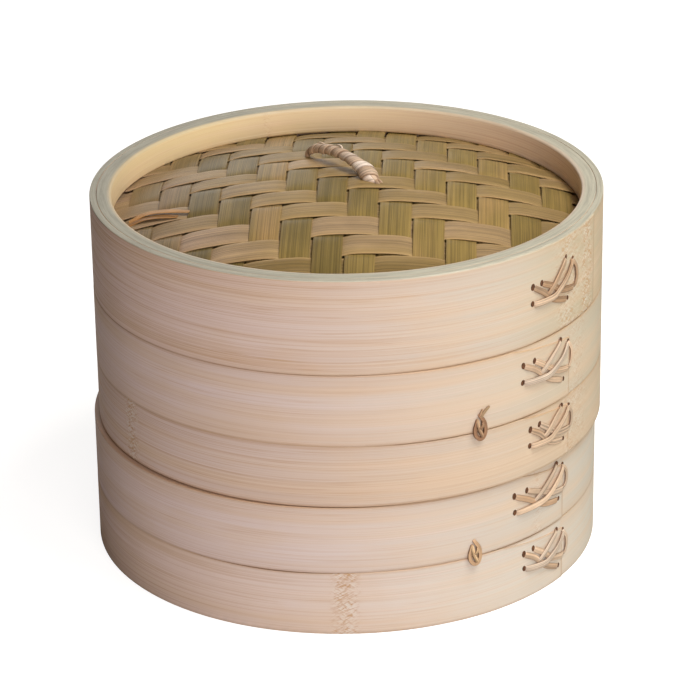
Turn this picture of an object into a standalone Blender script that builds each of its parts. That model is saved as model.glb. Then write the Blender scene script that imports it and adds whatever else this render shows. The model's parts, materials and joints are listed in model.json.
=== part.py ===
"""Bamboo steamer basket: two stacking tiers, a woven domed lid and its cane handle.

Metres, +Z up. The origin is under the middle of the basket, on the surface it stands on.
Angles around the basket start at its front (-Y) and grow towards its right (+X).
Each tier and the lid is modelled in its own coordinates, from its own lower edge.
"""

import math

import bpy
from mathutils import Matrix, Vector

MM = 0.001
GAP = 0.3 * MM              # clearance between neighbouring pieces
SEGMENTS = 56               # facets around each hoop
WELD = 0.00001              # merge distance of the turned shapes

# The stack: where each unit's lower edge stands, and how far the upper units sit to one side
LOWER_TIER_HEIGHT = 54.2 * MM
UPPER_TIER_HEIGHT = 54.4 * MM
LID_HEIGHT = 37.9 * MM
SIDE_STEP = 1.97 * MM

# Hoops, as radii
OUTER_RADIUS = 101.5 * MM
OUTER_BORE = 98.9 * MM
INNER_RADIUS = OUTER_BORE - GAP
INNER_BORE = 92.8 * MM
LIP_RADIUS = 96.2 * MM
LIP_HEIGHT = 8.0 * MM
SOCKET_DEPTH = 9.3 * MM     # how far the outer hoop reaches below the base ring

# Steaming floor, as heights in a tier
LOWER_HOOP_HEIGHTS = {"lower_tier": 26.2 * MM, "upper_tier": 25.0 * MM}
CROSSBAR_BOTTOM = 16.0 * MM
CROSSBAR_TOP = 21.7 * MM
CROSSBAR_WIDTH = 12.0 * MM
CROSSBAR_SPACING = 42.0 * MM
CROSSBAR_REACH = 97.0 * MM
SLAT_BOTTOM = CROSSBAR_TOP + GAP
SLAT_THICKNESS = 3.0 * MM
SLAT_WIDTH = 15.0 * MM
SLAT_PITCH = 18.6 * MM
SLAT_COUNT = 10
SLAT_REACH = 98.3 * MM
FLOOR_TURN = math.radians(28.6)     # the crossbars run towards this angle

# Lid, as heights above its lower edge
COVER_EDGE = 25.9 * MM
COVER_RISE = 13.5 * MM
COVER_THICKNESS = 1.4 * MM
COVER_REACH = 98.3 * MM
SHEET_PITCH = COVER_THICKNESS + GAP         # from the cover down to its liner
RIB_DROP = 4.9 * MM                         # from the middle of the cover to a rib's top
RIB_THICKNESS = 2.5 * MM
RIB_WIDTH = 9.0 * MM
RIB_SPACING = 46.0 * MM
RIB_REACH = 97.0 * MM

# Handle, over the line through its two feet
BACK_FOOT = Vector((-15.7 * MM, 32.3 * MM))
FRONT_FOOT = Vector((14.0 * MM, -6.6 * MM))
HANDLE_RISE = 8.5 * MM
HANDLE_FOOT_TURN = math.radians(12.0)       # where the arch's ellipse is cut off
HANDLE_POINTS = 18
WRAP_START = math.radians(18.0)              # the winding starts this much further up the ellipse
HANDLE_TAIL = 1.3 * MM                      # how far the core reaches below its foot
CORE_RADIUS = 1.5 * MM
WRAP_RADIUS = 2.3 * MM
WRAP_THICKNESS = 0.45 * MM
FOOT_HOLE_RADIUS = 2.9 * MM
LASHING_THICKNESS = 1.0 * MM
LASHING_WIDTH = 4.0 * MM

# Cane laced through the hoops: (angle in degrees, height in mm, crossing 0 to 1), from its top corner
STITCH_PATH = (
    (-13.2, -12.8, 0), (-9.2, -8.9, 1), (-5.0, -4.8, 0.5), (0, 0, 0), (3.6, -2.2, 0), (4.4, -7.9, 0),
    (4.0, -13.6, 0), (0.7, -16.4, 0), (-3.0, -13.7, 0), (-6.3, -11.2, 0), (-9.8, -8.5, 0), (-13.3, -5.9, 0),
)
STITCH_RADIUS = 0.5 * MM
STITCH_CROSSING_LIFT = 1.25 * MM
KNOT_RADIUS = 0.8 * MM
KNOT_HALF_WIDTH = 2.4 * MM
KNOT_HALF_HEIGHT = 4.2 * MM
KNOT_POINTS = 12

OUTSIDE = (0.72, 0.56, 0.42)
INSIDE = (0.72, 0.52, 0.30)
WOVEN = (0.26, 0.19, 0.08)
CANE = (0.62, 0.48, 0.28)


def new_collection(name):
    collection = bpy.data.collections.new(name)
    bpy.context.scene.collection.children.link(collection)
    return collection


def finish(name, colour, roughness=0.6):
    """A material of the piece's own."""
    material = bpy.data.materials.new(name)
    material.use_nodes = True
    shader = material.node_tree.nodes["Principled BSDF"]
    shader.inputs["Base Color"].default_value = (*colour, 1.0)
    shader.inputs["Roughness"].default_value = roughness
    shader.inputs["Metallic"].default_value = 0.0
    return material


def place(name, data, parent, colour, matrix=None):
    """Puts mesh or curve data into the basket's collection, under its unit's empty."""
    piece = bpy.data.objects.new(name, data)
    bpy.data.collections["bamboo_steamer"].objects.link(piece)
    data.materials.append(finish(name, colour))
    piece.parent = parent
    piece.matrix_basis = matrix or Matrix()
    return piece


def unit(name, location, parent=None):
    """An empty that carries one tier, the lid or the handle."""
    empty = bpy.data.objects.new(name, None)
    bpy.data.collections["bamboo_steamer"].objects.link(empty)
    empty.empty_display_size = 0.02
    empty.parent = parent
    empty.location = location
    return empty


def turned(name, profile, parent, colour):
    """A hoop or dish from (radius, height) points, down its outer side and back up inside."""
    mesh = bpy.data.meshes.new(name)
    joints = [(i, i + 1) for i in range(len(profile) - 1)]
    if profile[0][0] > 0:
        joints.append((len(profile) - 1, 0))
    mesh.from_pydata([(radius, 0, height) for radius, height in profile], joints, [])
    piece = place(name, mesh, parent, colour)
    turn = piece.modifiers.new("turn", "SCREW")
    turn.steps = SEGMENTS
    turn.render_steps = SEGMENTS
    turn.use_smooth_shade = True
    turn.use_merge_vertices = True
    turn.merge_threshold = WELD
    return piece


def hoop(name, outer, bore, bottom, top, parent, colour):
    profile = [(outer, top), (outer, bottom), (bore, bottom), (bore, top)]
    return turned(name, profile, parent, colour)


def plate(name, outlines, thickness, parent, colour, matrix=None):
    """A flat piece from closed outlines; the outlines after the first are holes."""
    curve = bpy.data.curves.new(name, "CURVE")
    curve.dimensions = "2D"
    curve.fill_mode = "BOTH"
    curve.extrude = thickness / 2
    for outline in outlines:
        spline = curve.splines.new("POLY")
        spline.points.add(len(outline) - 1)
        spline.use_cyclic_u = True
        for point, (x, y) in zip(spline.points, outline):
            point.co = (x, y, 0, 1)
    return place(name, curve, parent, colour, matrix)


def cane(name, path, radius, parent, colour, closed=False, capped=True):
    """A round cane along a path of points."""
    curve = bpy.data.curves.new(name, "CURVE")
    curve.dimensions = "3D"
    curve.bevel_depth = radius
    curve.bevel_resolution = 2
    curve.use_fill_caps = capped
    spline = curve.splines.new("POLY")
    spline.points.add(len(path) - 1)
    spline.use_cyclic_u = closed
    spline.use_smooth = True
    for point, position in zip(spline.points, path):
        point.co = (*position, 1)
    return place(name, curve, parent, colour)


def cut(piece, cutter):
    """Cuts a mesh object with a cutter that has no faces of its own in the model."""
    cutter.hide_render = True
    cutter.display_type = "WIRE"
    boolean = piece.modifiers.new(cutter.name, "BOOLEAN")
    boolean.operation = "DIFFERENCE"
    boolean.object = cutter


def cutter_from(name, make, parent, matrix):
    """A cutter whose shape comes from a primitive operator."""
    make()
    cutter = bpy.context.object
    cutter.name = name
    for collection in list(cutter.users_collection):
        collection.objects.unlink(cutter)
    bpy.data.collections["cutters"].objects.link(cutter)
    cutter.parent = parent
    cutter.matrix_basis = matrix
    return cutter


def box_cutter(name, size, parent, matrix):
    scale = Matrix.Diagonal((*size, 1))
    return cutter_from(name, lambda: bpy.ops.mesh.primitive_cube_add(size=1), parent, matrix @ scale)


def drill(name, radius, length, parent, location):
    def make():
        bpy.ops.mesh.primitive_cylinder_add(vertices=16, radius=radius, depth=length)
    return cutter_from(name, make, parent, Matrix.Translation(location))


def axes(x_axis, y_axis, origin=Vector((0, 0, 0))):
    """A matrix that turns local X and Y onto two directions at right angles."""
    x_axis, y_axis = x_axis.normalized(), y_axis.normalized()
    turned_axes = Matrix((x_axis, y_axis, x_axis.cross(y_axis))).transposed().to_4x4()
    return Matrix.Translation(origin) @ turned_axes


def rectangle(half_width, low, high):
    return [(-half_width, low), (half_width, low), (half_width, high), (-half_width, high)]


def on_wall(angle, height, lift):
    """A point over the outer wall, lifted off it."""
    radius = OUTER_RADIUS + lift
    return Vector((radius * math.sin(angle), -radius * math.cos(angle), height))


def stitch(name, corner_angle, corner_height, parent):
    """The cane that laces a hoop's lapped ends together."""
    path = []
    for angle, height, crossing in STITCH_PATH:
        lift = GAP + STITCH_RADIUS + crossing * STITCH_CROSSING_LIFT
        path.append(on_wall(math.radians(corner_angle + angle), corner_height + height * MM, lift))
    cane(name, path, STITCH_RADIUS, parent, CANE)


def knot(name, angle, height, parent):
    """The visible loop of the cane that ties the middle crossbar to the hoops."""
    path = []
    for step in range(KNOT_POINTS):
        turn = math.tau * step / KNOT_POINTS
        aside = KNOT_HALF_WIDTH * math.cos(turn) / OUTER_RADIUS
        path.append(on_wall(angle + aside, height + KNOT_HALF_HEIGHT * math.sin(turn), GAP + KNOT_RADIUS))
    cane(name, path, KNOT_RADIUS, parent, CANE, closed=True)


def slat_outline(low, high):
    """A slat from one side of the floor to the other, its ends trimmed to the hoop."""
    across = [low + (high - low) * step / 3 for step in range(4)]
    right = [(math.sqrt(SLAT_REACH ** 2 - y ** 2), y) for y in across]
    return right + [(-x, y) for x, y in reversed(right)]


def floor(tier, parent):
    """Three crossbars let into the base ring, and the slats across them."""
    turn = Matrix.Rotation(FLOOR_TURN, 4, "Z")
    base_ring = hoop(f"{tier}_base_ring", INNER_RADIUS, INNER_BORE, SOCKET_DEPTH, CROSSBAR_TOP, parent, INSIDE)
    middle = (CROSSBAR_BOTTOM + CROSSBAR_TOP) / 2
    for number in range(3):
        offset = (number - 1) * CROSSBAR_SPACING
        reach = math.sqrt(CROSSBAR_REACH ** 2 - (abs(offset) + CROSSBAR_WIDTH / 2) ** 2)
        outline = rectangle(CROSSBAR_WIDTH / 2, -reach, reach)
        at_height = turn @ Matrix.Translation((offset, 0, middle))
        plate(f"{tier}_crossbar_{number + 1}", [outline], CROSSBAR_TOP - CROSSBAR_BOTTOM, parent, INSIDE, at_height)
        notch = (CROSSBAR_WIDTH + 2 * GAP, 3 * OUTER_RADIUS, 2 * (CROSSBAR_TOP - CROSSBAR_BOTTOM + GAP))
        above = turn @ Matrix.Translation((offset, 0, CROSSBAR_TOP))
        cut(base_ring, box_cutter(f"{tier}_notch_{number + 1}", notch, parent, above))
    for number in range(SLAT_COUNT):
        centre = (number - (SLAT_COUNT - 1) / 2) * SLAT_PITCH
        outline = slat_outline(centre - SLAT_WIDTH / 2, centre + SLAT_WIDTH / 2)
        at_height = turn @ Matrix.Translation((0, 0, SLAT_BOTTOM + SLAT_THICKNESS / 2))
        plate(f"{tier}_slat_{number + 1:02d}", [outline], SLAT_THICKNESS, parent, INSIDE, at_height)


def tier(name, height, origin):
    """One tier: two outer hoops, the inner wall with its lip, the floor and the ties."""
    parent = unit(name, origin)
    split = LOWER_HOOP_HEIGHTS[name]
    top = height - GAP
    hoop(f"{name}_lower_outer_hoop", OUTER_RADIUS, OUTER_BORE, 0, split - GAP, parent, OUTSIDE)
    hoop(f"{name}_upper_outer_hoop", OUTER_RADIUS, OUTER_BORE, split, top, parent, OUTSIDE)
    bottom = SLAT_BOTTOM + SLAT_THICKNESS + GAP
    lip_top = top + LIP_HEIGHT
    chamfer = 1.0 * MM
    wall = [
        (LIP_RADIUS - chamfer, lip_top), (LIP_RADIUS, lip_top - chamfer), (LIP_RADIUS, top),
        (INNER_RADIUS, top), (INNER_RADIUS, bottom), (INNER_BORE, bottom), (INNER_BORE, lip_top),
    ]
    turned(f"{name}_inner_wall", wall, parent, INSIDE)
    floor(name, parent)
    stitches = {"lower_tier": ((52.5, 23.0), (53.7, 51.5)), "upper_tier": ((53.5, 22.4), (53.4, 50.8))}
    for place_name, (angle, corner) in zip(("lower", "upper"), stitches[name]):
        stitch(f"{name}_{place_name}_stitch", angle, corner * MM, parent)
    knot(f"{name}_knot_front", FLOOR_TURN, split + 1.6 * MM, parent)
    knot(f"{name}_knot_back", FLOOR_TURN + math.pi, split + 1.6 * MM, parent)
    return parent


def cover_height(radius):
    """Height of the middle of the woven cover, a shallow ball cap, at a distance from its centre."""
    ball = (INNER_BORE ** 2 + COVER_RISE ** 2) / (2 * COVER_RISE)
    return COVER_EDGE + COVER_RISE - ball + math.sqrt(ball ** 2 - min(radius, INNER_BORE) ** 2)


def woven_sheet(name, drop, parent):
    """A thin cap with a flat edge that the lid's inner rings hold between them."""
    rings = [INNER_BORE * step / 5 for step in range(6)]
    over = [(radius, cover_height(radius) - drop + COVER_THICKNESS / 2) for radius in rings]
    under = [(radius, height - COVER_THICKNESS) for radius, height in reversed(over)]
    edge = [(COVER_REACH, over[-1][1]), (COVER_REACH, under[0][1])]
    return turned(name, over + edge + under, parent, WOVEN)


def rib_reach(offset, radius):
    return math.sqrt(radius ** 2 - (abs(offset) + RIB_WIDTH / 2) ** 2)


def rib_outline(offset):
    """Side view of a rib that follows the cover and ends in two straight tenons."""
    bend = rib_reach(offset, INNER_BORE)
    along = [bend * step / 8 for step in range(-8, 9)]
    top = [(s, cover_height(math.hypot(s, offset)) - RIB_DROP) for s in along]
    edge = COVER_EDGE - RIB_DROP
    end = rib_reach(offset, RIB_REACH)
    top = [(-end, edge), (-bend, edge)] + top[1:-1] + [(bend, edge), (end, edge)]
    return top[::-1] + [(s, height - RIB_THICKNESS) for s, height in top]


def ribs(parent, along, aside, handle_offset):
    """Three ribs under the liner; the middle one runs under the handle."""
    bore_top = COVER_EDGE - SHEET_PITCH - COVER_THICKNESS / 2 - GAP
    ring = hoop("lid_retaining_ring", INNER_RADIUS, INNER_BORE, SOCKET_DEPTH, bore_top, parent, INSIDE)
    notch_bottom = COVER_EDGE - RIB_DROP - RIB_THICKNESS - GAP
    for step, name in ((-1, "left"), (0, "middle"), (1, "right")):
        offset = handle_offset + step * RIB_SPACING
        matrix = axes(along, Vector((0, 0, 1)), aside * offset)
        plate(f"lid_rib_{name}", [rib_outline(offset)], RIB_WIDTH, parent, INSIDE, matrix)
        size = (3 * OUTER_RADIUS, 2 * (bore_top - notch_bottom), RIB_WIDTH + 2 * GAP)
        level = axes(along, Vector((0, 0, 1)), aside * offset + Vector((0, 0, bore_top)))
        cut(ring, box_cutter(f"lid_notch_{name}", size, parent, level))


def lashing(name, foot, parent, aside):
    """A closed band of cane round the middle rib, under one foot of the handle."""
    rib_top = foot.z - RIB_DROP
    half = RIB_WIDTH / 2 + GAP
    low, high = rib_top - RIB_THICKNESS - 0.6 * MM, rib_top + GAP
    inner = rectangle(half, low, high)
    outer = rectangle(half + LASHING_THICKNESS, low - LASHING_THICKNESS, high + LASHING_THICKNESS)
    matrix = axes(aside, Vector((0, 0, 1)), Vector((foot.x, foot.y, 0)))
    plate(name, [outer, inner], LASHING_WIDTH, parent, CANE, matrix)


def handle_path(half_span, slope, first, last, count):
    """Points of the arch over the feet's line, a cut ellipse, between two of its angles."""
    across = half_span / math.cos(HANDLE_FOOT_TURN)
    upward = HANDLE_RISE / (1 - math.sin(HANDLE_FOOT_TURN))
    path = []
    for step in range(count):
        turn = first + (last - first) * step / (count - 1)
        height = upward * (math.sin(turn) - math.sin(HANDLE_FOOT_TURN))
        path.append((-across * math.cos(turn), height))
    return [slope[0] * s + slope[1] * h for s, h in path]


def handle(parent, back, front):
    """The bent cane core through the cover, and the flat cane wound round it."""
    chord = front - back
    up = Vector((0, 0, 1))
    pivot = unit("handle", (back + front) / 2, parent)
    directions = (chord.normalized(), up)
    turn = HANDLE_FOOT_TURN
    arch = handle_path(chord.length / 2, directions, turn, math.pi - turn, HANDLE_POINTS)
    tails = []
    for end, inner in ((arch[0], arch[1]), (arch[-1], arch[-2])):
        tails.append(end + (end - inner).normalized() * HANDLE_TAIL)
    core = [tails[0]] + arch + [tails[1]]
    cane("handle_core", core, CORE_RADIUS, pivot, CANE)
    turn = HANDLE_FOOT_TURN + WRAP_START
    bound = handle_path(chord.length / 2, directions, turn, math.pi - turn, HANDLE_POINTS)
    wrap = cane("handle_wrap", bound, WRAP_RADIUS, pivot, CANE, capped=False)
    shell = wrap.modifiers.new("wall", "SOLIDIFY")
    shell.thickness = WRAP_THICKNESS
    shell.offset = -1


def lid(origin):
    """The lid: one outer hoop, the woven cover held between two inner rings, ribs and handle."""
    parent = unit("lid", origin)
    hoop("lid_outer_hoop", OUTER_RADIUS, OUTER_BORE, 0, LID_HEIGHT, parent, OUTSIDE)
    cover_top = COVER_EDGE + COVER_THICKNESS / 2 + GAP
    hoop("lid_inner_hoop", INNER_RADIUS, INNER_BORE, cover_top, LID_HEIGHT, parent, INSIDE)
    stitch("lid_stitch", 54.8, 29.4 * MM, parent)
    back, front = (Vector((*foot, cover_height(foot.length))) for foot in (BACK_FOOT, FRONT_FOOT))
    along = Vector((*(FRONT_FOOT - BACK_FOOT), 0)).normalized()
    aside = Vector((-along.y, along.x, 0))
    for name, drop in (("lid_woven_cover", 0), ("lid_woven_liner", SHEET_PITCH)):
        sheet = woven_sheet(name, drop, parent)
        for foot, foot_name in ((back, "back"), (front, "front")):
            cut(sheet, drill(f"{name}_hole_{foot_name}", FOOT_HOLE_RADIUS, 12 * MM, parent, foot))
    ribs(parent, along, aside, aside.dot(back))
    lashing("lid_lashing_back", back, parent, aside)
    lashing("lid_lashing_front", front, parent, aside)
    handle(parent, back, front)


def build():
    for old in list(bpy.data.objects):
        bpy.data.objects.remove(old, do_unlink=True)
    new_collection("bamboo_steamer")
    new_collection("cutters")
    left, right = -SIDE_STEP / 2, SIDE_STEP / 2
    tier("lower_tier", LOWER_TIER_HEIGHT, (left, 0, 0))
    tier("upper_tier", UPPER_TIER_HEIGHT, (right, 0, LOWER_TIER_HEIGHT))
    lid((right, 0, LOWER_TIER_HEIGHT + UPPER_TIER_HEIGHT))


build()
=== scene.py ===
"""Looks for the bamboo steamer basket: every strip, slat, stitch and wind of cane as its own surface."""

import json
import math
import random

import bpy
import numpy as np
from mathutils import Matrix, Vector


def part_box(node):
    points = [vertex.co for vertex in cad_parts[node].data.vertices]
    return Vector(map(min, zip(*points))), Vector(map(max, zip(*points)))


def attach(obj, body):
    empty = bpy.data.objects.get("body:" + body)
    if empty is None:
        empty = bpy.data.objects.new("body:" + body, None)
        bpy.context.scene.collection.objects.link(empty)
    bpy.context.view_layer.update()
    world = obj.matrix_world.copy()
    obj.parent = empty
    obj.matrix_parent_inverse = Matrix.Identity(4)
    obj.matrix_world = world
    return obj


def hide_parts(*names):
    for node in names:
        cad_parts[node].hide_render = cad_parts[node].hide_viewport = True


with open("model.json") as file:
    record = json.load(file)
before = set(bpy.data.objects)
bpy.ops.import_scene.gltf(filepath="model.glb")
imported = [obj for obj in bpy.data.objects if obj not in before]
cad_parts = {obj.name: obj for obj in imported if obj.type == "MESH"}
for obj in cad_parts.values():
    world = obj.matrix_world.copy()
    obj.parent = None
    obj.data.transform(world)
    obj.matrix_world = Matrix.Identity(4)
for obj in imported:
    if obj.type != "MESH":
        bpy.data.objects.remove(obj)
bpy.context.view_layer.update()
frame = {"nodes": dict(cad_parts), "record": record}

MM = 0.001
UP = Vector((0, 0, 1))

# Hoops and walls; angles are degrees round from the front, to the right.
STEAMER_RADIUS = 101.5 * MM
OUTER_THICKNESS = 2.6 * MM
LID_THICKNESS = 2.75 * MM
INNER_THICKNESS = 5.8 * MM
LIP_RADIUS = 96.1 * MM
LID_OPENING = 92.8 * MM
LID_CORNERS = (0.35 * MM, 0.1 * MM)
HOOP_STEPS = 288
TIER_START = 56
LAP_BACK, LAP_GROWTH = 40, 36
LAP_END, LID_LAP_END = 56.5, 69.5
LAP_THICKNESS = 0.9 * MM

# Floors and ribs
FLOOR_TURN = math.radians(28.6)
SLATS, CROSSBARS = 10, 3
RIB_REACH = 96.8 * MM
RIB_THICKNESS = 2.3 * MM
# How far the ribs' middle lies under the top of the CAD ribs.
RIB_INSET = 1.25 * MM

# Woven cover and liner: widths are millimetres; tones run from low to high, shades from clean to dark.
WEAVE_TURN = math.radians(-2.45)
FIRST_COLUMN, FIRST_ROW = 5, 3
COLUMNS_START = -87.0
COLUMN_WIDTHS = (12.6, 12.6, 12.8, 12.8, 12.4, 12.5, 12.5, 12.4, 13.2, 12.8, 12.2, 12.6, 12.6, 12.6)
COLUMN_TONES = (0.7, 0.75, 0.0, 0.15, 0.75, 0.2, 0.08, 0.3, 0.45, 0.6, 0.5, 0.72, 0.3, 0.5)
COLUMN_SHADES = (0.4, 0.45, 0.12, 0.1, 0.2, 0.0, 0.0, 0.0, 0.0, 0.05, 0.0, 0.0, 0.0, 0.1)
ROWS_START = -93.8
ROW_WIDTHS = (14.6, 14.6, 14.4, 14.8, 13.2, 12.6, 13.2, 11.8, 12.0, 14.2, 14.5, 14.3, 14.2)
COVER_REACH = 95.5 * MM
WEAVE_HEIGHT = 0.78 * MM
LINER_WEAVE_HEIGHT = 0.58 * MM
LINER_SINK = 0.75 * MM
STRIP_THICKNESS = 0.5 * MM
STRIP_CROWN = 0.1 * MM
STRIP_STEPS = 130
# How far the strips' middle lies inside the top and the foot of the CAD cover or liner.
DOME_INSET = 0.7 * MM

# How far wear on slats and ribs only brings out their grain; past it their edges are browned.
WORN = 0.2
# What is left of a colour: a woven strip under painted shade greyed towards the left, a hoop painted darker
# and yellower close to its lit side, and a cut face under painted shade on the left.
SHADE_GREYING = (0.93, 0.95, 1.3)
LIT_SIDE_TINT = (0.925, 0.873, 0.718)
CUT_FACE_SHADE = (0.65, 0.65, 0.65)


def srgb(red, green, blue):
    """A colour given in 0 to 255 as a screen shows it, as linear light."""
    return tuple(((c / 255 + 0.055) / 1.055) ** 2.4 if c > 10 else c / 3294.6 for c in (red, green, blue))


def dim(colour, share):
    """A colour with only a share of its light left."""
    return tuple(c * share for c in colour)


# ---- materials

class Nodes:
    """Shorthand for a material's node tree."""

    def __init__(self, name):
        self.material = bpy.data.materials.new(name)
        self.material.use_nodes = True
        self.tree = self.material.node_tree
        self.shader = self.tree.nodes["Principled BSDF"]

    def node(self, kind, **values):
        new = self.tree.nodes.new(kind)
        for key, value in values.items():
            setattr(new, key, value)
        return new

    def feed(self, socket, value):
        """Gives a socket a number, a colour or another node's output."""
        if isinstance(value, tuple):
            socket.default_value = (*value, 1.0)
        elif isinstance(value, (int, float)):
            socket.default_value = value
        else:
            self.tree.links.new(value, socket)

    def fill(self, node, names, *values):
        """Feeds a node's inputs by their names."""
        for name, value in zip(names, values):
            self.feed(node.inputs[name], value)

    def place(self):
        return self.node("ShaderNodeTexCoord").outputs["Object"]

    def attribute(self, name):
        return self.node("ShaderNodeAttribute", attribute_name=name).outputs["Vector"]

    def split(self, vector):
        new = self.node("ShaderNodeSeparateXYZ")
        self.feed(new.inputs[0], vector)
        return new.outputs

    def noise(self, vector, scale, detail=3.0, roughness=0.55, distortion=0.0, lean=0.0):
        """Noise over a vector turned by lean and then stretched by scale (x, y, z)."""
        stretch = self.node("ShaderNodeMapping", vector_type="TEXTURE")
        stretch.inputs["Scale"].default_value = [1 / s for s in scale]
        stretch.inputs["Rotation"].default_value = (0.0, 0.0, lean)
        self.feed(stretch.inputs["Vector"], vector)
        new = self.node("ShaderNodeTexNoise")
        names = ("Vector", "Scale", "Detail", "Roughness", "Distortion")
        self.fill(new, names, stretch.outputs[0], 1.0, detail, roughness, distortion)
        return new.outputs["Fac"]

    def ramp(self, value, low, high, out_low=0.0, out_high=1.0):
        """Eases from out_low to out_high while the value goes from low to high."""
        new = self.node("ShaderNodeMapRange", interpolation_type="SMOOTHSTEP")
        names = ("Value", "From Min", "From Max", "To Min", "To Max")
        self.fill(new, names, value, low, high, out_low, out_high)
        return new.outputs[0]

    def math(self, operation, a, b):
        new = self.node("ShaderNodeMath", operation=operation)
        self.fill(new, (0, 1), a, b)
        return new.outputs[0]

    def mix(self, factor, a, b, blend="MIX"):
        new = self.node("ShaderNodeMix", data_type="RGBA", blend_type=blend)
        colours = [s for s in new.inputs if s.type == "RGBA"]
        for socket, value in zip((new.inputs[0], *colours), (factor, a, b)):
            self.feed(socket, value)
        return next(s for s in new.outputs if s.type == "RGBA")

    def turned_from(self, degrees):
        """How far round the basket a place lies from an angle: 0 at the angle, 1 opposite it."""
        towards = self.node("ShaderNodeVectorMath", operation="DOT_PRODUCT")
        self.feed(towards.inputs[0], self.place())
        angle = math.radians(degrees)
        towards.inputs[1].default_value = (math.sin(angle), -math.cos(angle), 0.0)
        closeness = self.math("MULTIPLY", towards.outputs["Value"], 0.5 / STEAMER_RADIUS)
        share = self.math("SUBTRACT", 0.5, closeness)
        return self.math("POWER", self.math("MAXIMUM", share, 0.0), 0.8)

    def bump(self, height, strength):
        new = self.node("ShaderNodeBump")
        self.fill(new, ("Strength", "Distance", "Height"), strength, 0.2 * MM, height)
        self.feed(self.shader.inputs["Normal"], new.outputs[0])

    def surface(self, colour, roughness, shine=0.3):
        """Sets the surface that shows and gives the finished material."""
        self.fill(self.shader, ("Base Color", "Roughness", "Specular IOR Level"), colour, roughness, shine)
        return self.material


def scar_marks(n, grain, colour, scarred, scar, streak):
    """Pale ridges and dark strokes, leaning both ways, across the scars of a strip."""
    patchy = n.ramp(n.noise(grain, (230, 230, 1), 2.0), 0.35, 0.6, 0.35, 1.0)
    scarred = n.math("MULTIPLY", n.ramp(scarred, 0.1, 0.95), patchy)
    for lean, share in ((0.5, 0.8), (-0.55, 0.55)):
        flecks = n.noise(grain, (330, 1500, 1), 2.0, 0.6, 0.4, lean)
        ridge = n.math("MULTIPLY", scarred, n.ramp(flecks, 0.5, 0.4))
        colour = n.mix(n.math("MULTIPLY", ridge, 0.6 * share), colour, scar)
        strokes = n.math("MULTIPLY", scarred, n.ramp(flecks, 0.52, 0.6))
        colour = n.mix(n.math("MULTIPLY", strokes, share), colour, streak)
    return colour


def cut_face(n, grain, rim):
    """A cut face with its fine rings, darkened by painted shade on the left of the basket."""
    rings = n.ramp(n.noise(grain, (50, 900, 1), 4.0, 0.7), 0.35, 0.7)
    aside = n.split(n.place())[0]
    face = n.mix(rings, rim, dim(rim, 0.72))
    # Painted shade: the cut face is darker on the left, away from the lamps.
    return n.mix(n.ramp(aside, -0.09, 0.06, 1.0, 0.0), face, CUT_FACE_SHADE, "MULTIPLY")


def bamboo(name, pale, unworn_and_lit, warm, streak, scar, rim, roughness=0.5, streaks=0.6, lines=0.5, relief=0.35,
           lit_side=None, lit_tint=0.0):
    """Split bamboo: long fibres along grain.x; look holds browned edges or wear, scars and cut faces.

    A bent strip's colour carries painted light: it goes from its lit colour, on the side towards the lamps at
    the given degrees round from the front, to pale on the shaded side opposite it.
    Close to the lit side it is also painted darker and yellower by the given share.
    """
    pale, unworn_and_lit, warm, streak, scar, rim = (srgb(*c) for c in (pale, unworn_and_lit, warm, streak, scar, rim))
    n = Nodes(name)
    grain = n.attribute("grain")
    worn, scarred, cut = n.split(n.attribute("look"))
    if lit_side is None:
        wear_and_shaded_side, browned = n.ramp(worn, 0.0, WORN), n.ramp(worn, WORN, 1.0)
    else:
        turned = n.turned_from(lit_side)
        wear_and_shaded_side, browned = n.ramp(turned, 0.0, 1.0), worn
        lit_tinted = tuple(f * r for f, r in zip(unworn_and_lit, LIT_SIDE_TINT))
        # Painted light: close to the lit side the strip is darker and yellower.
        unworn_and_lit = n.mix(n.ramp(turned, 0.0, 0.26, lit_tint, 0.0), unworn_and_lit, lit_tinted)
    contrast = n.math("ADD", n.math("MULTIPLY", wear_and_shaded_side, 0.95), 0.3)
    band = n.noise(grain, (4, 130, 1), 3.0, 0.6)
    fibre = n.noise(grain, (4, 1050, 1), 4.0, 0.75)
    hair = n.noise(grain, (6, 2100, 1), 2.0, 0.5)
    cloud = n.noise(grain, (26, 50, 1), 3.0)
    thread = n.noise(grain, (3.5, 520, 1), 3.0, 0.6)
    thread = n.math("ABSOLUTE", n.math("SUBTRACT", thread, 0.5), 0.0)
    # On bent strips this is painted light, lit colour towards the lamps and pale on the shaded side; on slats
    # it is wear.
    colour = n.mix(wear_and_shaded_side, unworn_and_lit, pale)
    colour = n.mix(n.ramp(band, 0.35, 0.7, 0.05, 0.6), colour, warm)
    colour = n.mix(n.math("MULTIPLY", n.ramp(cloud, 0.45, 0.75), 0.3), colour, warm)
    for height, strength in ((n.ramp(fibre, 0.5, 0.72), streaks), (n.ramp(hair, 0.48, 0.62), lines),
                             (n.ramp(thread, 0.0, 0.025, 1.0, 0.0), 1.8 * streaks)):
        share = n.math("MULTIPLY", n.math("MULTIPLY", height, strength), contrast)
        colour = n.mix(share, colour, streak)
    light = n.ramp(n.noise(grain, (7, 1500, 1), 3.0, 0.6), 0.55, 0.75)
    colour = n.mix(n.math("MULTIPLY", light, 0.25), colour, tuple(min(1.0, c * 1.08) for c in pale))
    colour = n.mix(n.math("MULTIPLY", browned, 0.85), colour, dim(streak, 0.8))
    colour = scar_marks(n, grain, colour, scarred, scar, streak)
    colour = n.mix(cut, colour, cut_face(n, grain, rim))
    n.bump(n.math("ADD", fibre, n.math("MULTIPLY", hair, 0.6)), relief)
    return n.surface(colour, roughness)


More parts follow.
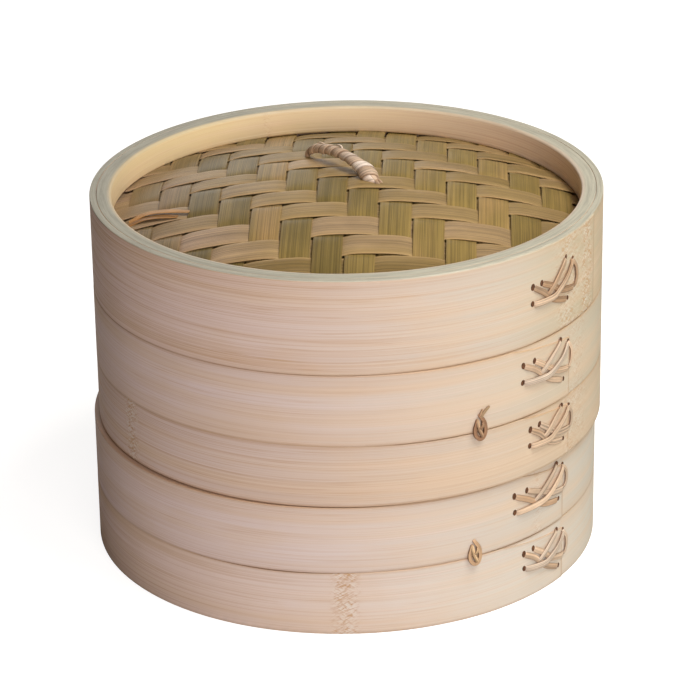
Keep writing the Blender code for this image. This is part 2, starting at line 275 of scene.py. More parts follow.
def woven(name, low, middle, high, edging, wear=0.75, mottle=1.0, fibres=1300, shade_greyed=0.0):
    """Thin strips of bamboo skin: the tone of each strip runs from low to high, its cut edges differ.

    Greyed strips carry painted shade: they turn greyer and bluer towards the left of the basket.
    """
    low, middle, high, edging = (srgb(*c) for c in (low, middle, high, edging))
    n = Nodes(name)
    grain = n.attribute("grain")
    tone, dark, edge = n.split(n.attribute("look"))
    drift = n.ramp(n.noise(grain, (22, 90, 1), 2.0, 0.5), 0.3, 0.7, -0.28 * mottle, 0.28 * mottle)
    tone = n.math("ADD", tone, drift)
    colour = n.mix(n.ramp(tone, 0.0, 0.5), low, middle)
    colour = n.mix(n.ramp(tone, 0.5, 1.0), colour, high)
    fibre = n.noise(grain, (10, fibres, 1), 4.0, 0.75)
    broad = n.noise(grain, (9, 330, 1), 3.0, 0.6)
    patch = n.noise(grain, (60, 70, 1), 3.0, 0.6)
    shade = n.ramp(fibre, 0.34, 0.66, 1.3, 0.62)
    for blotch, lighter, darker in ((broad, 0.08, 0.1), (patch, 0.1, 0.12)):
        blotch = n.ramp(blotch, 0.3, 0.7, 1.0 + lighter * mottle, 1.0 - darker * mottle)
        shade = n.math("MULTIPLY", shade, blotch)
    tint = n.node("ShaderNodeCombineXYZ")
    for socket in tint.inputs:
        n.feed(socket, shade)
    colour = n.mix(1.0, colour, tint.outputs[0], "MULTIPLY")
    colour = n.mix(n.math("MULTIPLY", edge, wear), colour, edging)
    # Painted shade: greyer and bluer towards the left, away from the lamps.
    aside = n.split(n.place())[0]
    colour = n.mix(n.ramp(aside, -0.085, -0.02, shade_greyed, 0.0), colour, SHADE_GREYING, "MULTIPLY")
    # The second look value darkens: each column's own darker tone, and on the cover the painted rim shadow.
    colour = n.mix(n.math("MULTIPLY", dark, 0.8), colour, dim(low, 0.25))
    n.bump(fibre, 0.5)
    return n.surface(colour, 0.45)


def painted_hole_shade_material():
    """Painted shade for the holes where a strap goes through the wall, with darker patches."""
    n = Nodes("lacing_hole_painted_shade")
    # Painted shade: the dark stands in for the shade inside each hole.
    painted_shade = n.ramp(n.noise(n.place(), (900, 900, 900)), 0.3, 0.7)
    return n.surface(n.mix(painted_shade, srgb(120, 78, 50), srgb(78, 48, 30)), 0.95, 0.5)


def floor_material():
    """A pale sweep that looks evenly white and throws back only part of the light it gets."""
    n = Nodes("studio_floor")
    cloud = n.ramp(n.noise(n.place(), (3, 3, 3)), 0.2, 0.8)
    seen = n.node("ShaderNodeLightPath").outputs["Is Camera Ray"]
    n.shader.inputs["Emission Color"].default_value = (1, 1, 1, 1)
    n.feed(n.shader.inputs["Emission Strength"], n.math("MULTIPLY", seen, 0.86))
    return n.surface(n.mix(cloud, srgb(182, 178, 174), srgb(175, 171, 167)), 0.9, 0.0)


# A hoop's pale cut face
RIM = (203, 196, 176)


def hoop_bamboo(name, pale, unworn_and_lit, lines, lit_tint):
    """An outer strip's bamboo: each was split from another cane, so its tone and its lines are its own."""
    # Painted light: lit colour at 80 degrees, on the right towards the lamps, pale on the shaded left.
    return bamboo(name, pale, unworn_and_lit, (234, 202, 170), (202, 152, 102), (240, 228, 216), RIM,
                  streaks=0.36 * lines, lines=0.36 * lines, lit_side=80, lit_tint=lit_tint)


LID_HOOP = hoop_bamboo("lid_hoop_bamboo", (245, 216, 208), (213, 203, 187), 0.75, 1.0)
UPPER_HOOP = hoop_bamboo("upper_hoop_bamboo", (243, 218, 214), (216, 204, 186), 0.38, 0.4)
THIRD_HOOP = hoop_bamboo("third_hoop_bamboo", (236, 210, 202), (217, 202, 183), 0.65, 0.5)
FOURTH_HOOP = hoop_bamboo("fourth_hoop_bamboo", (247, 223, 220), (218, 208, 194), 0.42, 0.0)
LOWEST_HOOP = hoop_bamboo("lowest_hoop_bamboo", (248, 220, 210), (225, 217, 205), 0.5, 0.0)
# Painted light: golden on the lit back left of the inner strips at 225 degrees, a brighter pale on the shaded
# front right.
INNER = bamboo("inner_bamboo", (255, 230, 210), (226, 200, 152), (232, 200, 168), (200, 154, 116),
               (236, 214, 186), RIM, streaks=0.25, lines=0.18, lit_side=225)
FLOOR_BAMBOO = bamboo("slat_bamboo", (226, 196, 150), (222, 196, 146), (206, 168, 116),
                      (140, 98, 58), (200, 150, 100), (196, 166, 120), roughness=0.6, relief=0.7)
OLIVE = woven("olive_strip", (118, 99, 52), (150, 125, 70), (182, 145, 94), (176, 142, 88),
              wear=0.4, mottle=0.4, fibres=3400, shade_greyed=1.0)
TAN = woven("tan_strip", (139, 113, 66), (160, 132, 86), (173, 143, 106), (196, 160, 110),
            mottle=0.7, fibres=2800, shade_greyed=1.0)
LACE = woven("lacing_cane", (176, 140, 108), (212, 182, 154), (226, 202, 180), (116, 76, 48), wear=0.9)
KNOT = woven("knot_cane", (150, 112, 84), (190, 154, 120), (214, 178, 136), (80, 50, 32),
             wear=0.95, fibres=900)
# Its high tone, on the front turns of the winding, is a painted highlight.
HANDLE = woven("handle_cane", (168, 134, 106), (206, 176, 148), (242, 222, 204), (134, 96, 70), wear=0.6)
SPLIT = woven("split_strip", (150, 106, 62), (172, 126, 78), (200, 146, 88), (190, 140, 86))
HOLE_SHADE = painted_hole_shade_material()


# ---- mesh helpers

class Surface:
    """Closed sweeps gathered into one mesh, with grain and look stored on its corners."""

    def __init__(self):
        self.points, self.faces, self.grain, self.look, self.slots = [], [], [], [], []

    def sweep(self, sections, grain, look, ring=False, slot=0):
        """Skins sections (along, around, xyz); grain and look are (along, around + 1, xyz)."""
        along, around = sections.shape[:2]
        rows = along if ring else along - 1
        i, j = np.meshgrid(np.arange(rows), np.arange(around), indexing="ij")
        i, j = i.ravel(), j.ravel()
        here, there, next_j = i * around, (i + 1) % along * around, (j + 1) % around
        quads = np.stack((here + j, here + next_j, there + next_j, there + j), 1)
        corners = (np.stack((i, i, i + 1, i + 1), 1), np.stack((j, j + 1, j + 1, j), 1))
        points = sections.reshape(-1, 3)
        middle = points.mean(0)
        a, b, c = (points[quads[:, k]] - middle for k in (0, 1, 2))
        flipped = np.einsum("ij,ij->i", np.cross(a, b), c).sum() < 0
        if flipped:
            quads = quads[:, ::-1]
            corners = tuple(c[:, ::-1] for c in corners)
        first = len(self.points)
        faces = [tuple(q) for q in (quads + first).tolist()]
        new_grain = [grain[corners].reshape(-1, 3)]
        new_look = [look[corners].reshape(-1, 3)]
        if not ring:
            for row, step in ((0, 1 if flipped else -1), (along - 1, -1 if flipped else 1)):
                order = list(range(around))[::step]
                faces.append(tuple(first + row * around + k for k in order))
                new_grain.append(grain[row, order])
                new_look.append(look[row, order])
        self.points += points.tolist()
        self.faces += faces
        self.slots += [slot] * len(faces)
        self.grain += new_grain
        self.look += new_look

    def piece(self, name, body, materials, slot, nodes=(), sharp=40):
        """Makes the object, rides it on its body and puts it in the place of its CAD nodes."""
        mesh = bpy.data.meshes.new(name)
        mesh.from_pydata(self.points, [], self.faces)
        for label, values in (("grain", self.grain), ("look", self.look)):
            layer = mesh.attributes.new(label, "FLOAT_VECTOR", "CORNER")
            layer.data.foreach_set("vector", np.concatenate(values).ravel().astype(np.float32))
        mesh.polygons.foreach_set("material_index", self.slots)
        for material in materials:
            mesh.materials.append(material)
        mesh.shade_smooth()
        mesh.set_sharp_from_angle(angle=math.radians(sharp))
        new = bpy.data.objects.new(name, mesh)
        bpy.context.scene.collection.objects.link(new)
        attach(new, body)
        if nodes:
            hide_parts(*nodes)
        return new


def layers(*parts):
    """Three values for each point as one array."""
    return np.stack(np.broadcast_arrays(*parts), -1).astype(float)


def smooth_path(points, steps):
    """A Catmull-Rom curve through points, sampled evenly in its parameter."""
    p = np.array(points, float)
    p = np.vstack((2 * p[0] - p[1], p, 2 * p[-1] - p[-2]))
    spans = len(p) - 3
    out = []
    for t in np.linspace(0, spans - 1e-9, steps):
        k = int(t)
        f = t - k
        a, b, c, d = p[k:k + 4]
        out.append(0.5 * (2 * b + (c - a) * f + (2 * a - 5 * b + 4 * c - d) * f ** 2
                          + (3 * b - a - 3 * c + d) * f ** 3))
    return np.array(out)


def course(path):
    """The direction of a path and the distance run at each of its points."""
    ahead = np.gradient(path, axis=0)
    ahead /= np.linalg.norm(ahead, axis=1)[:, None]
    return ahead, np.append(0, np.cumsum(np.linalg.norm(np.diff(path, axis=0), axis=1)))


def waves(angles, seed, size, counts=(2, 3, 5, 8)):
    """A slow, closed wave around a hoop."""
    rng = random.Random(seed)
    total = np.zeros_like(angles)
    for count in counts:
        total += rng.uniform(0.3, 1.0) * np.sin(count * angles + rng.uniform(0, math.tau)) / count ** 0.5
    return size * total / len(counts) ** 0.5


def round_box(node):
    """The middle, the radius, the foot and the top of a round CAD node."""
    low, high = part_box(node)
    middle = ((low[0] + high[0]) / 2, (low[1] + high[1]) / 2)
    return middle, (high[0] - low[0]) / 2, low[2], high[2]


def bell(angles, centre, spread):
    """1 at an angle in degrees, falling away over spread degrees."""
    away = (np.degrees(angles) - centre + 180) % 360 - 180
    return np.exp(-(away / spread) ** 2)


# ---- hoops and walls

def hoop_section(big, small):
    """A section with a big outer and a small inner corner.

    Its rows hold the share of the outer radius, a radial offset, the share of the height and a height offset.
    """
    near = 0.9 * MM
    arc = [(math.cos(a), math.sin(a)) for a in np.radians((0, 30, 60, 90))]
    rows = [(1, 0, 0, big), (1, 0, 0, big + near)]
    rows += [(1, 0, t, 0) for t in (0.3, 0.5, 0.7)]
    rows += [(1, 0, 1, -big - near)]
    rows += [(1, big * (c - 1), 1, big * (s - 1)) for c, s in arc]
    rows += [(1 - t, -big * (1 - t) + small * t, 1, 0) for t in np.linspace(0, 1, 6)[1:]]
    rows += [(0, small * (1 - s), 1, small * (c - 1)) for c, s in arc[1:]]
    rows += [(0, 0, 0.5, 0), (0, 0, 0, small)]
    rows += [(0, small * (1 - c), 0, small * (1 - s)) for c, s in arc[1:]]
    rows += [(1, big * (s - 1), 0, big * (1 - c)) for c, s in arc[:3]]
    return np.array(rows)


class Hoop:
    """A bent strip.

    A scar is an angle, a spread and a strength; a dip of the top edge is an angle, a spread and millimetres.
    The top shows a pale cut face by the share cut, most of all outside the radius rim_from. Fade is how brown
    the edges are, and start is the angle at which the sweep begins.
    """

    def __init__(self, node, thickness, seed, corners=(0.2 * MM, 0.2 * MM), start=0, raised=0.0, lowered=0.0,
                 widened=0.0, scars=(), dips=(), cut=0.0, rim_from=0.0, fade=0.8):
        self.centre, self.outer, self.low, self.high = round_box(node)
        self.bore = self.outer - thickness
        self.outer += widened
        self.low -= lowered
        self.high += raised
        self.node, self.seed, self.corners, self.start = node, seed, corners, start
        self.scars, self.dips, self.cut, self.rim_from, self.fade = scars, dips, cut, rim_from, fade

    def position(self, angle, radius, height):
        x = self.centre[0] + radius * np.sin(angle)
        y = self.centre[1] - radius * np.cos(angle)
        return layers(x, y, height)

    def skin(self, surface, angles, outer, bore, low, high, ring):
        """Adds the strip between angles; outer, bore, low and high hold one value an angle."""
        share_r, off_r, share_z, off_z = hoop_section(*self.corners).T
        radius = bore[:, None] + (outer - bore)[:, None] * share_r + off_r
        height = low[:, None] + (high - low)[:, None] * share_z + off_z
        sections = self.position(angles[:, None], radius, height)
        turns = np.append(angles, angles[0] + math.tau) if ring else angles
        wrap = (lambda a: np.vstack((a, a[:1]))) if ring else (lambda a: a)
        radius, height = (np.hstack((wrap(a), wrap(a)[:, :1])) for a in (radius, height))
        span = np.broadcast_to(turns[:, None], radius.shape)
        across = height + (wrap(outer[:, None]) - radius)
        grain = layers(span * self.outer, across, self.seed * 1.7)
        scar = sum((bell(span, c, w) * s for c, w, s in self.scars), 0.0)
        corner = np.where(share_r > 0.5, *self.corners)
        top = np.append((share_z == 1) & (off_z > -0.75 * corner), False)
        rim = np.where(top, self.cut, 0.0) * np.clip((radius - self.rim_from) / (1.6 * MM), 0.35, 1)
        rim = rim * np.clip((self.outer - radius) / (0.2 * MM), 0.55, 1)
        near = np.maximum(np.minimum(wrap(high[:, None]) - height, height - wrap(low[:, None])), 0)
        if not ring:
            near = np.minimum(near, (turns[-1] - span) * self.outer)
        browned = self.fade * (0.8 * np.exp(-near / (0.4 * MM)) + 0.15 * np.exp(-near / (2.2 * MM)))
        look = layers(browned * (1 - rim), np.clip(scar, 0, 1), rim)
        surface.sweep(sections, grain, look, ring=ring)

    def build(self, name, body, material, slot, lap=None):
        angles = math.radians(self.start) + np.linspace(0, math.tau, HOOP_STEPS, endpoint=False)
        wobble = waves(angles, self.seed, 0.07 * MM)
        high = self.high - np.abs(waves(angles, self.seed + 1, 0.12 * MM, (3, 7, 11)))
        low = self.low + np.abs(waves(angles, self.seed + 2, 0.10 * MM, (3, 7, 11)))
        for centre, spread, depth in self.dips:
            high = high - depth * MM * bell(angles, centre, spread)
        outer = self.outer - 0.12 * MM + wobble
        surface = Surface()
        self.skin(surface, angles, outer, np.full_like(angles, self.bore), low, high, True)
        if lap:
            self.add_lap(surface, *lap)
        return surface.piece(name, body, [material], slot, [self.node])

    def add_lap(self, surface, start, end, drop, rise=0.0):
        """The strip's outer end, a little proud of its hoop and cut on a slant from start to end.

        Along the slant its top comes down by drop, or its foot goes up by rise.
        """
        turn = np.linspace(start - LAP_BACK, end, 96)
        angles = np.radians(turn + 360)
        grown = np.clip((turn - start + LAP_BACK) / LAP_GROWTH, 0, 1)
        outer = self.outer - 0.2 * MM + 0.55 * MM * grown
        slant = np.clip((turn - start) / (end - start), 0, 1) ** 0.8
        high = self.high - 0.25 * MM - drop * slant
        low = self.low + 0.2 * MM + rise * slant
        self.skin(surface, angles, outer, outer - LAP_THICKNESS, low, high, False)


def outer_hoops():
    """The five outer strips, from the lid down."""
    lid = Hoop("lid_outer_hoop", LID_THICKNESS, 11, LID_CORNERS, start=69, lowered=0.12 * MM, cut=1.0,
               scars=((65.5, 3.0, 1.0), (56, 7, 0.6)))
    lid.build("lid_outer_strip", "lid", LID_HOOP, "hoop_bamboo", (43, LID_LAP_END, 0.0, 0.9 * MM))
    for tier, place, material, seed, raised, scars, dips, lap_start, drop in (
            ("upper_tier", "upper", UPPER_HOOP, 23, 0.15, ((60, 7, 0.5),), (), 37, 4.6),
            ("upper_tier", "lower", THIRD_HOOP, 31, 0.42, ((-57, 2.9, 1.0), (60, 8, 0.55)),
             ((32, 20, 0.6),), 40, 3.6),
            ("lower_tier", "upper", FOURTH_HOOP, 43, 0.0, ((47, 2.6, 0.45),), ((-55, 45, 0.3),), 42, 4.2),
            ("lower_tier", "lower", LOWEST_HOOP, 59, 0.4, ((-0.6, 2.9, 1.0),),
             ((44, 14, 0.45), (-16, 15, 0.5)), 36, 4.2)):
        hoop = Hoop(f"{tier}_{place}_outer_hoop", OUTER_THICKNESS, seed, start=TIER_START, raised=raised * MM,
                    scars=scars, dips=dips)
        hoop.build(f"{tier}_{place}_strip", tier, material, "hoop_bamboo", (lap_start, LAP_END, drop * MM))


def inner_hoops():
    """The lid's two inner strips, and each tier's wall and base ring."""
    lid_inner = Hoop("lid_inner_hoop", INNER_THICKNESS, 71, (0.1 * MM, 1.1 * MM), start=20, lowered=0.4 * MM,
                     widened=0.1 * MM, scars=((200.5, 1.6, 0.5),), cut=1.0, rim_from=LID_OPENING, fade=0.2)
    lid_inner.build("lid_inner_strip", "lid", INNER, "inner_bamboo")
    retaining = Hoop("lid_retaining_ring", INNER_THICKNESS, 73)
    retaining.build("lid_retaining_strip", "lid", INNER, "inner_bamboo")
    for tier, seed in (("lower_tier", 83), ("upper_tier", 97)):
        wall = Hoop(f"{tier}_inner_wall", INNER_THICKNESS, seed)
        wall_strip(wall, tier)
        ring = Hoop(f"{tier}_base_ring", INNER_THICKNESS, seed + 5)
        ring.build(f"{tier}_base_strip", tier, INNER, "inner_bamboo")


def wall_strip(wall, tier):
    """The tall inner strip with its lip planed thinner above the outer hoops."""
    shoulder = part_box(f"{tier}_upper_outer_hoop")[1][2]
    surface = Surface()
    angles = np.linspace(0, math.tau, HOOP_STEPS, endpoint=False)
    ones = np.ones_like(angles)
    wobble = waves(angles, wall.seed, 0.05 * MM)
    body_outer = wall.outer - 0.1 * MM + wobble
    wall.skin(surface, angles, body_outer, wall.bore * ones, wall.low * ones, shoulder * ones, True)
    lip_bore = (wall.bore + 0.05 * MM) * ones
    lip_foot = (shoulder - 1.5 * MM) * ones
    lip_top = wall.high - np.abs(waves(angles, wall.seed + 1, 0.2 * MM))
    wall.skin(surface, angles, LIP_RADIUS + wobble, lip_bore, lip_foot, lip_top, True)
    surface.piece(f"{tier}_wall_strip", tier, [INNER], "inner_bamboo", [wall.node])


# ---- flat strips

# The points of strip_section that lie on its cut edges, and those next to them on top.
EDGE_POINTS, SHOULDER_POINTS = [0, 6, 7, -2, -1], [1, 5]


def closed(values):
    """Values round a section with the first one repeated at the end."""
    return np.append(values, values[0])


def strip_section(half_width, thickness, crown, edge):
    """A thin crowned section as (across, height) pairs, from its left edge over the top."""
    across = np.array((-1, -0.86, -0.55, 0, 0.55, 0.86, 1.0))
    top = thickness / 2 + crown * (1 - across ** 2)
    top[[0, -1]] -= edge
    under = -thickness / 2 + 0.6 * crown * (1 - across ** 2)
    under[[0, -1]] += edge
    return np.concatenate((across, across[::-1])) * half_width, np.concatenate((top, under[::-1]))


def painted_rim_shadow(x, y):
    """How much painted shadow falls along the rim, at the front left of the cover."""
    outside = np.clip((np.hypot(x, y) - 79 * MM) / (12 * MM), 0, 1)
    left = np.clip(0.4 - x / (60 * MM), 0, 1)
    front = np.clip(0.2 - y / (50 * MM), 0, 1)
    return 0.65 * outside * left * front


def flat_strip(surface, lie, centre, half_width, reach, level, steps, thickness, seed, tone, edge=0.12 * MM,
               crown=0.0, glow=None, dark=0.0):
    """A strip across a round opening: its ends follow the circle of radius reach.

    Lie holds the opening's middle and the directions along and across the strip; level gives its height.
    Glow is how strongly its cut edges show, and with it a painted shadow along the front left rim is added;
    dark is how dirty it is.
    """
    origin, along, across = (np.array(part) for part in lie)
    side, height = strip_section(half_width, thickness, crown, edge)
    limit = reach - 0.6 * MM
    v = np.clip(centre + side, -limit, limit)
    s = np.linspace(-1, 1, steps)[:, None] * np.sqrt(reach ** 2 - v ** 2)
    every_v = np.broadcast_to(v, s.shape)
    sections = origin + s[..., None] * along + every_v[..., None] * across
    sections[..., 2] = level(s, every_v) + height
    wide = np.hstack((s, s[:, :1]))
    v_wide = closed(v) + closed(height)
    rim, shade = np.zeros(len(v) + 1), np.full(wide.shape, dark)
    if glow:
        rim[EDGE_POINTS] = glow
        rim[SHOULDER_POINTS] = 0.35 * glow
        # Painted shadow of the rim on the cover's front left.
        painted_shade = painted_rim_shadow(sections[..., 0] - origin[0], sections[..., 1] - origin[1])
        shade = np.minimum(1.0, shade + np.hstack((painted_shade, painted_shade[:, :1])))
    surface.sweep(sections, layers(wide, v_wide, seed * 0.37), layers(tone, shade, rim))


def node_span(node, axis):
    """How far a CAD node reaches along a direction."""
    mesh = frame["nodes"][node].data
    points = np.empty(len(mesh.vertices) * 3, np.float32)
    mesh.vertices.foreach_get("co", points)
    along = points.reshape(-1, 3) @ np.array(axis, np.float32)
    return float(along.min()), float(along.max())


def floors():
    """Slats over crossbars in each tier."""
    along = Vector((math.cos(FLOOR_TURN), math.sin(FLOOR_TURN), 0))
    across = Vector((-along.y, along.x, 0))
    rng = random.Random(5)
    for tier in ("lower_tier", "upper_tier"):
        middle = Vector((*round_box(f"{tier}_lower_outer_hoop")[0], 0))
        for number in range(SLATS):
            plank(f"{tier}_slat_{number + 1:02d}", tier, middle, along, across, rng)
        for number in range(CROSSBARS):
            plank(f"{tier}_crossbar_{number + 1}", tier, middle, across, along, rng)


def plank(node, body, middle, along, across, rng):
    """One slat or crossbar, a little bowed and not quite straight."""
    low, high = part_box(node)
    start, end = node_span(node, across)
    reach_low, reach_high = node_span(node, along)
    centre, half = (start + end) / 2 - middle.dot(across), (end - start) / 2
    furthest = max(reach_high - middle.dot(along), middle.dot(along) - reach_low)
    reach = math.hypot(furthest, abs(centre) - half if abs(centre) > half else 0)
    bow = rng.uniform(-0.12, 0.12) * MM
    level = (low[2] + high[2]) / 2

    def height(s, v):
        return level + bow * (1 - (s / reach) ** 2)

    surface = Surface()
    flat_strip(surface, (middle, along, across), centre, half, reach, height, 24,
               high[2] - low[2] - 0.3 * MM, rng.uniform(0, 90), rng.uniform(0.0, 0.7), edge=0.45 * MM)
    surface.piece(node + "_strip", body, [FLOOR_BAMBOO], "slat_bamboo", [node])


# ---- woven cover

class Dome:
    """The shallow ball cap that the cover's strips follow."""

    def __init__(self, node, sunk=0.0):
        middle, _, foot, top = round_box(node)
        self.centre = Vector((*middle, 0))
        self.top = top - DOME_INSET - sunk
        rise = self.top - (foot + DOME_INSET - sunk)
        self.ball = (LID_OPENING ** 2 + rise ** 2) / (2 * rise)

    def height(self, x, y):
        away = np.minimum(np.hypot(x, y), LID_OPENING)
        return self.top - self.ball + np.sqrt(self.ball ** 2 - away ** 2)


def over_under(phase):
    """A strip's height along a 2/2 twill, from -1 under to 1 over; one turn is four crossings."""
    return np.tanh(2.2 * np.cos(math.tau * phase / 4)) / np.tanh(2.2)


class Twill:
    """Columns run away from the front and rows run across; both edges lists hold millimetres."""

    def __init__(self, dome, columns, rows, first_row):
        self.dome, self.columns, self.rows = dome, np.array(columns), np.array(rows)
        self.column_way = Vector((-math.sin(WEAVE_TURN), math.cos(WEAVE_TURN), 0))
        self.column_side = Vector((math.cos(WEAVE_TURN), math.sin(WEAVE_TURN), 0))
        self.first_row = first_row

    def column_at(self, x, y):
        side = (x * self.column_side.x + y * self.column_side.y) / MM
        return np.interp(side, self.columns, np.arange(len(self.columns))) - FIRST_COLUMN

    def row_at(self, y):
        arc = self.dome.ball * np.arcsin(y / self.dome.ball) / MM
        return np.interp(arc, self.rows, np.arange(len(self.rows))) - self.first_row


def weave(twill, name, materials, node, seed, gap, wave):
    """A twill of two strips over, two under; each row back steps one column to the left."""
    rng = random.Random(seed)
    dome = twill.dome
    columns, rows = Surface(), Surface()
    column_lie = (dome.centre, twill.column_way, twill.column_side)
    row_lie = (dome.centre, (1, 0, 0), (0, 1, 0))
    for number, (start, end) in enumerate(zip(twill.columns, twill.columns[1:])):
        i = number - FIRST_COLUMN
        centre, half = (start + end) / 2 * MM, (end - start) / 2 * MM - gap - rng.uniform(0, 0.25) * MM
        tone, dark = COLUMN_TONES[number], COLUMN_SHADES[number]
        depth = wave + rng.uniform(-0.1, 0.1) * MM

        def level(s, v, i=i, depth=depth):
            x = v * twill.column_side.x + s * twill.column_way.x
            y = v * twill.column_side.y + s * twill.column_way.y
            return dome.height(x, y) + depth * over_under(twill.row_at(y) + i)

        flat_strip(columns, column_lie, centre, half, COVER_REACH, level, STRIP_STEPS, STRIP_THICKNESS,
                   rng.uniform(0, 200), tone, crown=STRIP_CROWN, glow=0.5, dark=dark)
    for number, (start, end) in enumerate(zip(twill.rows, twill.rows[1:])):
        m = number - twill.first_row
        planar = [dome.ball * math.sin(e * MM / dome.ball) for e in (start, end)]
        centre, half = sum(planar) / 2, (planar[1] - planar[0]) / 2 - gap - rng.uniform(0, 0.3) * MM
        tone = min(1.0, max(0.0, rng.gauss(0.5, 0.25)))
        depth = wave + rng.uniform(-0.1, 0.1) * MM

        def level(s, v, m=m, depth=depth):
            return dome.height(s, v) + depth * over_under(twill.column_at(s, v) - (2 - m))

        flat_strip(rows, row_lie, centre, half, COVER_REACH, level, STRIP_STEPS, STRIP_THICKNESS,
                   rng.uniform(0, 200), tone, crown=STRIP_CROWN, glow=0.9)
    columns.piece(f"{name}_columns", "lid", [materials[0]], "woven_strip", [node])
    rows.piece(f"{name}_rows", "lid", [materials[1]], "woven_strip")


def edges(start, widths):
    """The edges of strips laid side by side from start."""
    return [start + sum(widths[:k]) for k in range(len(widths) + 1)]


def cover():
    """The twill on top and the liner woven under it."""
    dome = Dome("lid_woven_cover")
    columns = edges(COLUMNS_START, COLUMN_WIDTHS)
    rows = edges(ROWS_START, ROW_WIDTHS)
    upper = Twill(dome, columns, rows, FIRST_ROW)
    weave(upper, "lid_cover", (OLIVE, TAN), "lid_woven_cover", 21, 0.32 * MM, WEAVE_HEIGHT)
    liner = Dome("lid_woven_liner", LINER_SINK)
    lower = Twill(liner, columns, rows, FIRST_ROW + 1)
    weave(lower, "lid_liner", (TAN, OLIVE), "lid_woven_liner", 22, 0.2 * MM, LINER_WEAVE_HEIGHT)
    return liner


def slivers():
    """Split edges lifted off the woven strips: places are millimetres on the cover and above it."""
    dome = Dome("lid_woven_cover")
    loose = [((-85.5, -13.5, 0.9), (-79.0, -13.0, 2.2), (-71.0, -15.6, 2.6), (-61.5, -18.2, 1.5), 4.2, 0.95),
             ((-86.0, -16.5, 0.7), (-80.0, -16.0, 1.7), (-73.0, -18.0, 2.0), (-66.0, -20.0, 1.2), 5.0, 0.1)]
    surface = Surface()
    for number, (*places, width, tone) in enumerate(loose):
        path = smooth_path(places, 22) * MM
        path[:, 2] += dome.height(path[:, 0], path[:, 1])
        path[:, :2] += np.array(dome.centre)[:2]
        ribbon(surface, path, UP, width * MM, 0.3 * MM, number, tone, 0.5)
    surface.piece("lid_cover_slivers", "lid", [SPLIT], "woven_strip")


def handle_joint():
    """The hinge line through the handle's feet, from the record."""
    return next(j for j in frame["record"]["behaviour"]["joints"] if j["name"] == "handle_rock")


def rib_directions():
    """The level directions along the ribs, which follow the handle's line, and across them."""
    axis = handle_joint()["axis"]
    along = Vector((axis[0], axis[1], 0)).normalized()
    return along, Vector((-along.y, along.x, 0))


def ribs(dome):
    """Bent ribs under the liner, run along the handle's line."""
    along, across = rib_directions()
    rng = random.Random(9)
    for side in ("left", "middle", "right"):
        node = f"lid_rib_{side}"
        start, end = node_span(node, across)
        centre, half = (start + end) / 2 - dome.centre.dot(across), (end - start) / 2
        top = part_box(node)[1][2]
        peak = dome.height(0.0, centre)

        def level(s, v, centre=centre, top=top, peak=peak):
            away = np.minimum(np.hypot(s, centre), LID_OPENING)
            return top - RIB_INSET + dome.height(away, 0.0) - peak

        surface = Surface()
        flat_strip(surface, (dome.centre, along, across), centre, half, RIB_REACH, level, 48, RIB_THICKNESS,
                   rng.uniform(0, 90), rng.uniform(0.1, 0.6), edge=0.4 * MM)
        surface.piece(node + "_strip", "lid", [FLOOR_BAMBOO], "slat_bamboo", [node])


# ---- cane

def ribbon(surface, path, normals, width, thickness, seed, tone, taper=0.0):
    """A flat cane along a path, with its flat side towards the normals."""
    path = np.asarray(path)
    ahead, length = course(path)
    side = np.cross(ahead, np.asarray(normals))
    side /= np.linalg.norm(side, axis=1)[:, None]
    up = np.cross(side, ahead)
    across, height = strip_section(1.0, 1.0, 0.25, 0.3)
    t = np.linspace(0, 1, len(path))
    size = width / 2 * (1 - taper * np.abs(2 * t - 1) ** 3)
    sections = (path[:, None] + side[:, None] * (across * size[:, None])[..., None]
                + up[:, None] * (height * thickness)[None, :, None])
    v = closed(across) * width / 2 + closed(height) * thickness
    edge = np.zeros(len(v))
    edge[EDGE_POINTS] = 0.8
    grain = layers(length[:, None], v, seed * 0.61)
    surface.sweep(sections, grain, layers(tone, 0.0 * length[:, None], edge))


def hole(surface, position, normal, width, height, lean):
    """A small dish, painted dark as the shade inside a hole, where cane goes through the wall."""
    normal = np.array(normal) / np.linalg.norm(normal)
    side = np.cross((0, 0, 1.0), normal)
    side /= np.linalg.norm(side)
    up = np.cross(normal, side)
    turns = np.linspace(0, math.tau, 14, endpoint=False)
    rings = []
    for share, depth in ((1.0, -0.2 * MM), (1.0, 0.05 * MM), (0.8, 0.09 * MM), (0.3, 0.05 * MM)):
        a, b = share * width / 2 * np.cos(turns), share * height / 2 * np.sin(turns)
        a, b = a * math.cos(lean) - b * math.sin(lean), a * math.sin(lean) + b * math.cos(lean)
        rings.append(position + side * a[:, None] + up * b[:, None] + normal * depth)
    blank = np.zeros((len(rings), len(turns) + 1, 3))
    surface.sweep(np.array(rings), blank, blank, slot=1)


class Wall:
    """The outer wall under a stitch or a knot."""

    def __init__(self, node, angle, height, lap_end=0.0):
        self.centre, self.radius, _, _ = round_box(node)
        self.angle, self.height, self.lap_end = angle, height, lap_end

    def point(self, aside, up, lift):
        """A point from the stitch's own origin, in millimetres along the wall; the lap stands proud."""
        angle = self.angle + aside * MM / self.radius
        proud = 0.35 if math.degrees(angle) < self.lap_end else 0.0
        radius = self.radius + (lift + proud) * MM
        return np.array((self.centre[0] + radius * math.sin(angle), self.centre[1] - radius * math.cos(angle),
                         self.height + up * MM))

    def normal(self, aside):
        angle = self.angle + aside * MM / self.radius
        return np.array((math.sin(angle), -math.cos(angle), 0.0))

    def strap(self, surface, path, width, thickness, seed, tone, steps=26, taper=0.25):
        smooth = smooth_path(path, steps)
        points = [self.point(*p) for p in smooth]
        normals = [self.normal(p[0]) for p in smooth]
        ribbon(surface, points, normals, width * MM, thickness * MM, seed, tone, taper)


